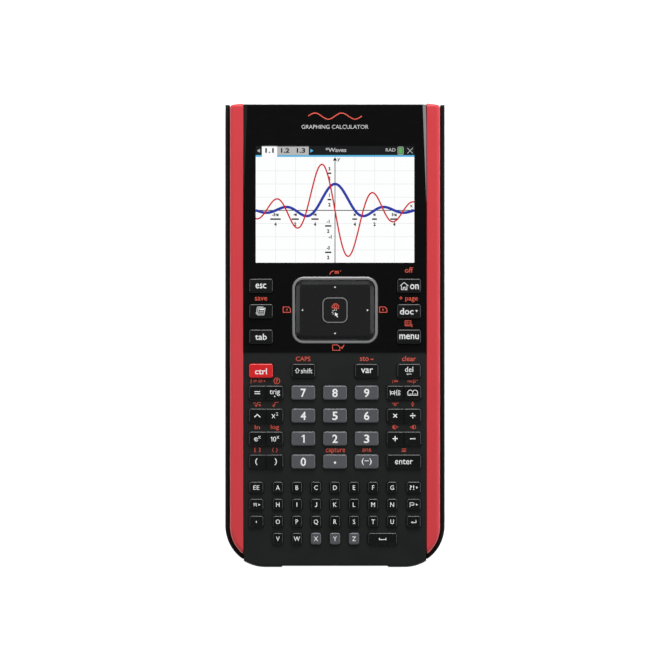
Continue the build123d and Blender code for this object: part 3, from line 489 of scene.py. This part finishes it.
cap_marks |= {f"key_{digit}": [("text", str(digit), 0, 0, 3.35, 2.2, 0.018)] for digit in range(10)}
cap_marks["key_1"] = [
    ("patch", [(-0.85, 0.95), (0.15, 1.65), (0.55, 1.65), (0.55, -1.65), (-0.05, -1.65), (-0.05, 1.0),
               (-0.6, 0.62)]),
]

# Letter rows: the columns stand either side of the middle one, and a wider key ends each row
row_letters = {1: "ABCDEFG", 2: "HIJKLMN", 3: "OPQRSTU", 4: "VWXYZ"}
column = key_column / MM
end = 32.3
letter_stroke = 0.34
for row, letters in row_letters.items():
    cap_marks[f"letter_keys_row_{row}"] = [
        ("text", letter, (place - 3) * column, 0, 1.85, None, 0.006)
        for place, letter in enumerate(letters) if letter not in "IJ"
    ]
cap_marks["letter_keys_row_1"] += [
    ("text", "EE", -end, 0, 1.8, 2.5, 0),
    ("text", "?!", end - 0.7, 0, 1.8, 1.9, 0.006),
    ("patch", arrowhead(end + 1.3, 0, 0.8)),
]
cap_marks["letter_keys_row_2"] += [
    ("band", [(-2 * column, 0.92), (-2 * column, -0.92)], letter_stroke),
    ("band", [(0.3 - column, 0.92), (0.3 - column, -0.45), (0.05 - column, -0.8),
              (-0.4 - column, -0.8)], letter_stroke),
    ("text", "π", -end - 0.5, 0, 1.3, 1.7, 0.006, True),
    ("patch", arrowhead(-end + 1.2, 0, 0.8)),
    ("band", [(end - 1.5, -1.0), (end - 1.5, 0.8), (end - 0.1, 0.8), (end + 0.2, 0.3),
              (end - 0.1, -0.2), (end - 1.5, -0.2)], 0.24),
    ("patch", arrowhead(end + 1.3, 0, 0.8)),
]
cap_marks["letter_keys_row_3"] += [
    ("text", ",", -end, -0.1, 0.9, 0.45, 0.03, True),
    ("band", [(end + 0.95, 0.75), (end + 0.95, -0.3), (end - 0.6, -0.3)], 0.28),
    ("patch", arrowhead(end - 0.65, -0.3, 0.85, 180)),
]
space = 2.5 * column
cap_marks["letter_keys_row_4"] += [
    ("band", [(space - 1.35, 0.35), (space - 1.35, -0.35), (space + 1.35, -0.35), (space + 1.35, 0.35)],
     0.3),
]

for cap, marks in cap_marks.items():
    low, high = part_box(cap)
    middle_x = 0 if cap.startswith("letter") else (low.x + high.x) / 2
    centre = (middle_x / MM, (low.y + high.y) / 2 / MM)
    legend = Print(f"legend_{cap}", cap, high.z / MM, white_ink, "legend_white", centre)
    for kind, *mark in marks:
        getattr(legend, kind)(*mark)
    legend.finish()


# Display. A colour panel lit from behind, on its diffuser in a steel tray. The picture is a page of
# the graphing program: a status bar, tabs, a squared sheet, and the curves sin(4x)/4x and its slope.

diffuser_white = Finish("diffuser_white", (0.8, 0.8, 0.8), Roughness=0.6)
diffuser_white.feed("Base Color", diffuser_white.blend(diffuser_white.noise(0.01),
                                                       (0.74, 0.74, 0.75), (0.82, 0.82, 0.82)))
diffuser_white.relief(diffuser_white.noise(0.0003), 0.00001)
dress(diffuser_white, "display_backlight")

panel_glass = Finish("panel_glass", (0.05, 0.05, 0.055), Roughness=0.08)
panel_glass.feed("Roughness", panel_glass.noise(0.008) * 0.06 + 0.05)
panel_glass.feed("Base Color", panel_glass.blend(panel_glass.noise(0.02),
                                                 (0.04, 0.04, 0.045), (0.06, 0.06, 0.065)))
dress(panel_glass, "display_panel")


def lit(name, colour):
    """Part of the picture: light from the panel, through the fine grid of its colour cells."""
    finish = Finish(name, (0, 0, 0), Roughness=0.5, Emission_Strength=1.1, Specular_IOR_Level=0.0)
    cells = finish.node("TexChecker", None, {"Vector": finish.place, "Scale": 1 / 0.0002}, out="Fac")
    finish.feed("Emission Color", finish.blend(cells, colour, [channel * 0.975 for channel in colour]))
    return finish


panel_low, panel_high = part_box("display_panel")
border = 2.3  # of the panel, outside the lit picture
screen_x = (panel_low.x + panel_high.x) / 2 / MM
screen_y = (panel_low.y + panel_high.y) / 2 / MM
half_w = (panel_high.x - panel_low.x) / 2 / MM - border
half_h = (panel_high.y - panel_low.y) / 2 / MM - border
layer = 0.02
clear_of_panel = 0.01


def picture(name, step, colour):
    """A layer of the picture; step counts the layers up from the panel."""
    level = panel_high.z / MM + clear_of_panel + step * layer
    shown = Print("picture_" + name, "case", level, lit("lit_" + name, colour), "lit_picture",
                  (screen_x, screen_y))
    shown.film = layer * 0.8
    return shown


bar_low = half_h - 3.65
bar_middle = half_h - 1.85
axis_y = -2.4
radian = 10.358  # one radian and one unit on the sheet
unit = 10.85

page = picture("page", 0, (0.965, 0.968, 0.97))
page.patch([(-half_w, -half_h), (half_w, -half_h), (half_w, bar_low), (-half_w, bar_low)])
page.finish()
bar = picture("status_bar", 0, (0.013, 0.0135, 0.0145))
bar.patch([(-half_w, bar_low), (half_w, bar_low), (half_w, half_h), (-half_w, half_h)])
bar.finish()

# Squared paper every quarter pi and every half unit, with the axes and their arrows
line_low = bar_low - 0.75
square_w, square_h = radian * math.pi / 4, unit / 2
grid_line, axis_line = 0.11, 0.34
grid = picture("grid", 1, (0.62, 0.63, 0.64))
for step in range(-3, 4):
    grid.band([(step * square_w, -half_h), (step * square_w, line_low)], grid_line)
for step in range(-3, 4):
    grid.band([(-half_w, axis_y + step * square_h), (half_w, axis_y + step * square_h)], grid_line)
grid.finish()

axes = picture("axes", 2, (0.008, 0.008, 0.008))
axes.band([(0, -half_h), (0, bar_low - 1.6)], axis_line)
axes.band([(-half_w, axis_y), (half_w, axis_y)], axis_line)
axes.patch(arrowhead(0, bar_low - 1.7, 1.5, 90))
axes.patch(arrowhead(half_w - 0.7, axis_y, 1.2))
axes.text("y", 1.55, bar_low - 2.0, 1.4, 1.3, 0.02, True)
axes.text("x", half_w - 1.2, axis_y + 1.75, 1.1, 1.2, 0.02, True)


stroke = 0.05
digit_tall = 1.45


def fraction(x, y, above, below, width, tall=digit_tall):
    """A fraction on the sheet: a numerator of a given height, its bar and a denominator."""
    axes.text(above, x, y + 1.85, tall, None, stroke, True)
    axes.band([(x - width / 2, y), (x + width / 2, y)], 0.62)
    axes.text(below, x, y - 2.05, digit_tall, None, stroke)


quarter_turns = ((1, "π", "4", 2.0, 1.1), (2, "π", "2", 2.0, 1.1), (3, "3·π", "4", 3.3, 1.4))
for step, above, below, wide, tall in quarter_turns:
    fraction(step * square_w, axis_y - 3.6, above, below, wide, tall)
    fraction(-step * square_w - 0.1, axis_y - 3.6, "-" + above, below, wide + 1, tall)
for step, above in ((3, "3"), (1, "1"), (-1, "-1"), (-3, "-3")):
    wide = 1.6 if step > 0 else 2.6
    fraction(-2.3 if step > 0 else -2.8, axis_y + step * square_h - 1.0, above, "2", wide)
axes.text("-1", -2.0, axis_y - unit, digit_tall, None, stroke)
axes.finish()

# The curves, drawn from their formulas at evenly spaced places along the sheet
along = np.linspace(-half_w, half_w, 260)
phase = 4 * along / radian
slope_curve = picture("slope_curve", 4, (0.6, 0.01, 0.014))
slope = 4 * (np.cos(phase) / phase - np.sin(phase) / phase ** 2)
slope_curve.band(np.stack([along, axis_y + slope * unit], 1), 0.6)
slope_curve.finish()
wave_curve = picture("wave_curve", 3, (0.028, 0.045, 0.36))
wave_curve.band(np.stack([along, axis_y + np.sin(phase) / phase * unit], 1), 1.1)
wave_curve.finish()

# Status bar: page arrows, three tabs, the file's name, the angle mode, the charge and a cross
tab_edges = (-30.1, -23.8, -17.2, -10.8)
line = picture("bar_line", 2, (0.1, 0.45, 0.72))
line.patch([(-half_w, line_low), (tab_edges[0], line_low), (tab_edges[0], bar_low), (-half_w, bar_low)])
line.patch([(tab_edges[1], line_low), (half_w, line_low), (half_w, bar_low), (tab_edges[1], bar_low)])
line.patch(arrowhead(-9.6, bar_middle, 1.3))
line.finish()
tabs = picture("tabs", 1, (0.46, 0.46, 0.46))
tabs.patch([(tab_edges[1], bar_low), (tab_edges[3], bar_low), (tab_edges[3], half_h - 0.15),
            (tab_edges[1], half_h - 0.15)])
tabs.patch(arrowhead(-31.4, bar_middle, 1.3, 180))
tabs.finish()
front_tab = picture("front_tab", 2, (0.965, 0.968, 0.97))
front_tab.patch([(tab_edges[0], line_low), (tab_edges[1], line_low), (tab_edges[1], half_h - 0.1),
                 (tab_edges[0], half_h - 0.1)])
front_tab.finish()
tab_words = picture("tab_words", 3, (0.012, 0.012, 0.012))
for place, words in enumerate(("1.1", "1.2", "1.3")):
    tab_middle = (tab_edges[place] + tab_edges[place + 1]) / 2
    tab_words.text(words, tab_middle, bar_middle + 0.15, 1.85, 3.5, 0.035)
tab_words.finish()
bar_words = picture("bar_words", 1, (0.55, 0.55, 0.55))
bar_words.text("*Waves", 0.4, bar_middle + 0.4, 1.75, 8.5, 0.012)
bar_words.text("RAD", 22.9, bar_middle + 0.35, 1.35, 4.0, 0.004)
cross_x, charge_x = 30.9, 27.0
for lean in (1.1, -1.1):
    bar_words.band([(cross_x - 1.1, bar_middle - lean), (cross_x + 1.1, bar_middle + lean)], 0.2)
bar_words.band(rounded(charge_x, bar_middle, 2.2, 3.1, 0.5), 0.2, True)
bar_words.finish()
charge = picture("charge", 2, (0.1, 0.42, 0.1))
charge.patch(rounded(charge_x, bar_middle, 1.6, 2.5, 0.35))
charge.finish()


# Touchpad. A rocking plate in satin black with a bevelled edge, a square push button in its middle
# with a silver line round it, and a plated ring that trims the opening in the bezel.

ring_silver = rolled_steel("ring_silver", (0.32, 0.32, 0.325), 0.42, (1, 0.15, 1))
dress(ring_silver, "touchpad_ring")
touchpad_black = moulded("touchpad_black", (0.0112, 0.0112, 0.0116), (0.05, 0.052, 0.054), 0.3,
                         depth=0.000003, wear_and_highlight_strength=0.1, Specular_IOR_Level=0.2)
dress(touchpad_black, "touchpad_plate", "touchpad_button")

pad_low, pad_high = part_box("touchpad_plate")
pad_centre = ((pad_low.x + pad_high.x) / 2 / MM, (pad_low.y + pad_high.y) / 2 / MM)
pad_level = pad_high.z / MM
button_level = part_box("touchpad_button")[1].z / MM
silver_line = Finish("silver_line", (0.3, 0.3, 0.305), Metallic=0.6, Roughness=0.35)
silver_line.feed("Roughness", silver_line.noise(0.001) * 0.15 + 0.3)
outline = Print("button_outline", "touchpad_button", button_level, silver_line, "ring_silver",
                pad_centre)
outline.band(rounded(0, 0, 9.9, 10.0, 2.2, 7), 0.4, True)
outline.finish()

arrows = Print("touchpad_arrows", "touchpad_plate", pad_level, white_ink, "legend_white", pad_centre)
for turn, x, y in ((90, 0, 9.5), (270, 0, -9.6), (180, -13.4, 0), (0, 13.4, 0)):
    arrows.patch(arrowhead(x, y, 0.72, turn))
arrows.finish()

cursor = Print("button_cursor", "touchpad_button", button_level, white_ink, "legend_white", pad_centre)
cursor.patch([(0.0, -0.9), (1.35, -1.75), (0.75, -1.9), (1.25, -2.75), (0.85, -2.95), (0.4, -2.1),
              (-0.05, -2.5)])
for turn in (60, 100, 140, 180, 220):
    near, far = arc(0, -0.9, 0.75, turn, turn + 1, 2)[0], arc(0, -0.9, 1.35, turn, turn + 1, 2)[0]
    cursor.band([near, far], 0.2)
cursor.finish()
book = Print("button_book", "touchpad_button", button_level, orange_ink, "label_orange", pad_centre)
book.band([(-1.2, 0.9), (-1.2, 1.6), (-0.2, 2.6), (0.7, 2.6), (1.5, 1.9), (1.5, 0.7), (0.3, 0.7),
           (-0.2, 0.9)], 0.28, True)
book.band(arc(0.2, 1.6, 0.55), 0.24, True)
book.finish()


# Bezel, window and front panel. The bezel is polished black acrylic that shows every wipe of a
# cloth; the window is clear and flush with it. Second functions are printed beside their keys.

bezel_gloss = Finish("bezel_gloss", (0.003, 0.003, 0.003), Coat_Weight=0.1, Coat_Roughness=0.03)
smear = bezel_gloss.node("Mapping", None, {"Vector": bezel_gloss.place, "Scale": (0.25, 1, 1),
                                           "Rotation": (0, 0, 0.5)})
wipes = bezel_gloss.node("TexNoise", None, {"Vector": smear, "Scale": 500.0, "Detail": 4.0})
haze = bezel_gloss.band(wipes, 0.45, 0.7) * 0.07
bezel_gloss.feed("Roughness", haze + bezel_gloss.noise(0.02) * 0.05 + 0.09)
dust = bezel_gloss.band(bezel_gloss.noise(0.0012, 4), 0.7, 0.8)
bezel_gloss.feed("Base Color", bezel_gloss.blend(dust, (0.0035, 0.0035, 0.0036), (0.012, 0.012, 0.012)))
bezel_gloss.relief(wipes, 0.000004, 0.3)
dress(bezel_gloss, "screen_bezel")

clear_window = Finish("clear_window", (0.02, 0.02, 0.022), Roughness=0.04, Alpha=0.03)
clear_window.feed("Roughness", clear_window.noise(0.01) * 0.05 + 0.02)
dress(clear_window, "display_window")

bezel_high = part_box("screen_bezel")[1].z / MM
side_x = 30.4
bezel_labels = Print("bezel_labels", "case", bezel_high, orange_ink, "label_orange")
bezel_labels.text("off", side_x, 26.8, 2.2, 3.3, 0)
bezel_labels.text("save", -side_x, 15.0, 1.45, 5.0, 0)
bezel_labels.text("+ page", side_x - 0.2, 15.1, 1.7, 7.6, 0)

# The mark over the menu key: a small table with a pointer on it
table_y = 4.9
bezel_labels.band(rounded(side_x - 0.4, table_y, 2.4, 2.1, 0.1, 2), 0.28, True)
for row in (-0.45, 0.25):
    bezel_labels.band([(side_x - 1.6, table_y + row), (side_x + 0.8, table_y + row)], 0.2)
bezel_labels.band([(side_x - 0.8, table_y - 1), (side_x - 0.8, table_y + 1)], 0.2)
pointer = [(0, 1.3), (0, -1.1), (0.5, -0.6), (1.0, -1.4), (1.3, -1.2), (0.9, -0.4), (1.5, -0.3)]
bezel_labels.patch(np.array(pointer) * 0.8 + (side_x + 0.4, table_y - 0.5))

# Page marks on both sides of the touchpad and below it, and the grid mark above it
for side in (-1, 1):
    spot = side * 19.8
    bezel_labels.band([(spot - 1.5, 9.4), (spot - 1.5, 11.6), (spot + 0.7, 11.6), (spot + 1.5, 10.8),
                       (spot + 1.5, 9.4)], 0.28, True)
    bezel_labels.patch(arrowhead(spot, 10.5, 0.75, 0 if side > 0 else 180))
bezel_labels.band([(-1.0, -6.2), (-1.0, -4.0), (1.0, -4.0), (2.0, -4.9), (2.0, -6.2)], 0.28, True)
bezel_labels.band([(2.4, -4.9), (2.9, -5.4), (3.8, -3.9)], 0.34)
bezel_labels.band([(-2.2, 24.9), (-1.7, 25.9), (-0.9, 26.3)], 0.3)
bezel_labels.patch(arrowhead(-0.8, 26.35, 0.6, 30))
cell, pitch = 0.46, 0.62
for column_step in range(3):
    for row_step in range(2):
        spot = (0.1 + column_step * pitch, 25.55 + row_step * pitch)
        bezel_labels.patch(rounded(*spot, cell, cell, 0.05, 2))
bezel_labels.patch(arrowhead(2.3, 26.3, 0.5, -90))
bezel_labels.finish()

title = Print("bezel_title", "case", bezel_high, ink("title_ink", (0.45, 0.45, 0.45)), "legend_white")
title.text("GRAPHING CALCULATOR", 0, 85.6, 1.6, 27.5, 0.004)
title.finish()

# A wave of two periods over the title
swing = np.linspace(0, 4 * math.pi, 90)
wave_pitch, wave_height, wave_y = 1.75, 1.25, 90.0
motif = Print("bezel_wave", "case", bezel_high, orange_ink, "label_orange")
along, up = (swing - 2 * math.pi) * wave_pitch, wave_y + wave_height * np.sin(swing)
motif.band(np.stack([along, up], 1), 0.42)
motif.finish()

front_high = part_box("front_housing")[1].z / MM
keypad_labels = Print("keypad_labels", "case", front_high, orange_ink, "label_orange")
top_y, small = -9.7, 1.75
keypad_labels.text("CAPS", -13.1, top_y, small, 6.0, 0.002)
keypad_labels.text("sto", 12.05, top_y, small, 3.6, 0.002)
keypad_labels.band([(14.5, top_y - 0.2), (15.4, top_y - 0.2)], 0.26)
keypad_labels.patch(arrowhead(15.5, top_y - 0.2, 0.7))
keypad_labels.text("clear", side_x, top_y + 0.1, 2.05, 5.7, 0.002)

# Four rows of labels, each a set distance above the middle of its keys
row_lift = 4.75
row_keys = [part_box(name) for name in ("key_0", "key_1", "key_4", "key_7")]
row_y = [(low.y + high.y) / 2 / MM + row_lift for low, high in row_keys]
pair_x = 28.3
outer, inner = pair_x + half_pair, pair_x - half_pair
keypad_labels.text("[ ]", -outer, row_y[0], small, 2.4, 0, True)
keypad_labels.text("{ }", -inner, row_y[0], small, 2.4, 0, True)
keypad_labels.text("capture", 0.2, row_y[0], small, 7.9, 0)
keypad_labels.text("ans", 13.0, row_y[0], 1.3, 3.6, 0)
keypad_labels.text("≅", pair_x, row_y[0], 1.5, 1.8, 0, True)
keypad_labels.text("ln", -outer, row_y[1], small, 2.1, 0)
keypad_labels.text("log", -inner, row_y[1] + 0.1, small, 3.4, 0)
root_y = row_y[2] - 0.15
keypad_labels.text("n", -outer - 1.15, root_y + 0.5, 0.75, 0.8, 0)
for spot in (0.15 - outer, 0.15 - inner):
    keypad_labels.band([(spot - 1.1, root_y - 0.1), (spot - 0.6, root_y - 0.9), (spot, root_y + 0.85),
                        (spot + 1.3, root_y + 0.85)], 0.24)
keypad_labels.text("x", -outer + 0.95, root_y - 0.25, 0.9, 0.95, 0)
keypad_labels.text("|≠≥", -outer - 0.3, row_y[3], 1.85, 4.8, 0, True)
keypad_labels.patch(arrowhead(-outer + 3.0, row_y[3], 0.6))
keypad_labels.band(arc(-inner + 0.8, row_y[3] + 0.1, 1.2), 0.22, True)
keypad_labels.text("?", -inner + 0.8, row_y[3] + 0.1, 1.35, 0.85, 0)
keypad_labels.text(":=", inner, row_y[3] - 0.2, 1.1, 2.6, 0, True)
keypad_labels.text("∞β°", outer, row_y[3] - 0.2, small, 4.4, 0, True)
for side in (-1, 1):
    quote = [(inner + side * 1.3, row_y[2] + 0.7), (inner + side * 1.05, row_y[2] + 0.2)]
    keypad_labels.band(quote, 0.24)
keypad_labels.band(rounded(inner, row_y[2] - 0.05, 0.9, 0.9, 0.1, 2), 0.24, True)
keypad_labels.band([(outer - 0.7, row_y[2]), (outer + 0.7, row_y[2])], 0.24)
for lift in (-0.65, 0.65):
    keypad_labels.patch(rounded(outer, row_y[2] + lift, 0.6, 0.55, 0.1, 2))
for spot, tip in ((inner - 0.3, 1), (outer + 0.45, -1)):
    keypad_labels.band(arc(spot, row_y[1], 0.8), 0.22, True)
    keypad_labels.patch(arc(spot, row_y[1], 0.8, 90, 270, 11))
    keypad_labels.patch(arrowhead(spot + tip * 1.4, row_y[1], 0.5, 90 - 90 * tip))
keypad_labels.finish()


# Side strips. Moulded red ABS with a satin lacquer, wrapped over the shoulder and bonded there, ending
# in a point at the bumper; fine mica in the lacquer catches the light.

strip_red = Finish("strip_red", (0.5, 0.026, 0.036), Roughness=0.45, Specular_IOR_Level=0.25)
flakes = strip_red.node("TexVoronoi", None, {"Vector": strip_red.place, "Scale": 3500.0},
                        out="Distance")
mica = strip_red.band(flakes, 0.1, 0.45)
strip_cloud = strip_red.noise(0.02, 3)
strip_red.feed("Base Color", strip_red.blend(strip_cloud * 0.4 + mica * 0.15,
                                             (0.47, 0.03, 0.038), (0.55, 0.046, 0.054)))
strip_red.feed("Roughness", strip_cloud * 0.08 + mica * 0.05 + 0.42)
strip_red.relief(mica, 0.000008, 0.3)
dress(strip_red, "side_strip_left", "side_strip_right")


# Slide cover. A hard black tray, parked on the back; its lips run in grooves along the body. Its
# outside is lightly textured and scuffed where it lies on desks, and its sides are a little paler,
# partly wear and partly a painted highlight.

cover_black = moulded("cover_black", (0.004, 0.004, 0.004), (0.02, 0.02, 0.02), 0.48,
                      grain=0.0003, wear_and_highlight_strength=0.2, Specular_IOR_Level=0.2)
dress(cover_black, "slide_cover")


# Floor, lights and camera. A pale sheet a hair under the object, soft boxes above the display end and
# on both sides, and a long lens that looks straight down on the keys.

floor_mesh = bpy.data.meshes.new("floor")
reach, floor_z = 6.0, -0.0003
floor_corners = [(-reach, -reach, floor_z), (reach, -reach, floor_z), (reach, reach, floor_z),
                 (-reach, reach, floor_z)]
floor_mesh.from_pydata(floor_corners, [], [(0, 1, 2, 3)])
floor = bpy.data.objects.new("floor", floor_mesh)
bpy.context.scene.collection.objects.link(floor)
floor_paint = Finish("floor_paint", (0.9, 0.9, 0.9), Roughness=0.8, Specular_IOR_Level=0.0,
                     Emission_Strength=0.8, Emission_Color=(1, 1, 1, 1))
floor_paint.feed("Base Color", floor_paint.blend(floor_paint.noise(0.5),
                                                 (0.89, 0.89, 0.89), (0.91, 0.91, 0.91)))
floor_mesh.materials.append(floor_paint.material)


def soft_box(name, place, size, power):
    """A square area light that faces the middle of the object."""
    light = bpy.data.lights.new(name, "AREA")
    light.shape, light.size, light.energy = "SQUARE", size, power
    holder = bpy.data.objects.new(name, light)
    holder.location = place
    holder.rotation_euler = (-Vector(place)).to_track_quat("-Z", "Y").to_euler()
    bpy.context.scene.collection.objects.link(holder)


soft_box("box_top", (0.12, 1.15, 0.6), 0.7, 25)
soft_box("box_right", (1.0, 0.1, 0.9), 0.6, 6)
soft_box("box_left", (-0.8, 0.2, 1.2), 0.6, 4.5)

world = bpy.data.worlds.new("studio")
bpy.context.scene.world = world
world.use_nodes = True
sky = world.node_tree
heading = sky.nodes.new("ShaderNodeTexCoord")
split = sky.nodes.new("ShaderNodeSeparateXYZ")
sky.links.new(heading.outputs["Generated"], split.inputs[0])
fade = sky.nodes.new("ShaderNodeMapRange")
for socket, value in enumerate((0.35, 0.88, 0.5, 0.02), start=1):  # brighter low down than overhead
    fade.inputs[socket].default_value = value
sky.links.new(split.outputs[2], fade.inputs[0])
sky.links.new(fade.outputs[0], sky.nodes["Background"].inputs[1])
sky.nodes["Background"].inputs[0].default_value = (0.97, 0.98, 1.0, 1)
bpy.context.scene.view_settings.view_transform = "Standard"

camera_data = bpy.data.cameras.new("camera")
camera_data.lens = 140
camera_data.sensor_width = 36
camera = bpy.data.objects.new("camera", camera_data)
seen = 0.2753  # width of the view at the keys, in metres
camera.location = (0, 0.07 * MM, front_high * MM + seen * camera_data.lens / camera_data.sensor_width)
bpy.context.scene.collection.objects.link(camera)
bpy.context.scene.camera = camera
